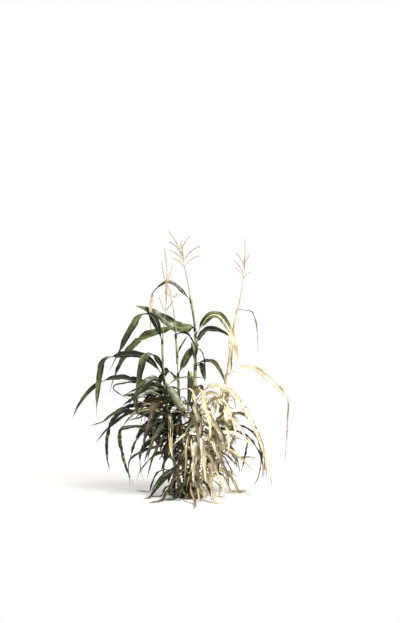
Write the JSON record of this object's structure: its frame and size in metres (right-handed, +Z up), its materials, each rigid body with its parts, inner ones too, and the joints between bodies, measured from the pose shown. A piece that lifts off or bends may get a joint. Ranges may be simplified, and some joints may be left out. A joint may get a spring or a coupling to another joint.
{
  "type": "maize plant",
  "caption": "Clump of maize stems from one root crown, with arching strap leaves, husked ears and open tassels, rooted in the ground.",
  "frame": {"origin": "middle of the flat cut of the root crown at ground level", "axes": "+Z up along the plant, +X to the right of the front view, +Y away from the front view"},
  "size_m": [1.1914, 0.6854, 1.4567],
  "materials": {
    "cane": "waxy green-buff rind with low ribs",
    "dry_cane": "dull straw rind",
    "leaf": "satin green blade with fine long veins and a pale rib",
    "dry_leaf": "papery straw blade with fine long veins",
    "tassel": "dry scaly spikelets",
    "husk": "papery husk with long veins, dark dry silk"
  },
  "bodies": {
    "root": {"stem_main": "cane", "stem_left": "cane", "stem_inner": "cane", "stem_right": "dry_cane", "stem_front": "dry_cane", "stem_back": "cane", "tassel_main": "tassel", "tassel_left": "tassel", "tassel_inner": "tassel", "tassel_right": "tassel", "ear_middle": "husk", "ear_right_upper": "husk", "ear_right_lower": "husk", "leaf_main_1": "leaf", "leaf_main_front": "leaf", "leaf_main_back": "leaf", "leaf_main_2": "leaf", "leaf_main_3": "leaf", "leaf_main_4": "leaf", "leaf_main_5": "leaf", "leaf_main_6": "leaf", "leaf_inner_back": "leaf", "leaf_inner_1": "leaf", "leaf_inner_2": "leaf", "leaf_inner_3": "leaf", "leaf_left_1": "leaf", "leaf_left_2": "leaf", "leaf_left_3": "leaf", "leaf_left_4": "leaf", "leaf_left_5": "leaf", "leaf_left_front": "leaf", "leaf_left_back": "leaf", "leaf_left_6": "leaf", "leaf_left_7": "leaf", "leaf_left_8": "leaf", "leaf_left_broad": "leaf", "leaf_left_9": "leaf", "leaf_left_10": "leaf", "leaf_right_1": "dry_leaf", "leaf_right_2": "dry_leaf", "leaf_right_front": "dry_leaf", "leaf_right_back": "dry_leaf", "leaf_right_3": "dry_leaf", "leaf_right_4": "dry_leaf", "leaf_right_high_back": "dry_leaf", "leaf_right_5": "dry_leaf", "leaf_back_1": "leaf", "leaf_back_2": "leaf", "leaf_back_3": "leaf", "leaf_front_1": "dry_leaf", "leaf_front_2": "dry_leaf", "leaf_front_3": "dry_leaf", "lower_leaves_left": "leaf", "lower_leaves_inner_low": "leaf", "lower_leaves_inner_high": "leaf", "lower_leaves_main_low": "leaf", "lower_leaves_main_high": "leaf", "lower_leaves_front": "dry_leaf", "lower_leaves_right": "dry_leaf", "lower_leaves_back": "leaf"}
  },
  "joints": []
}
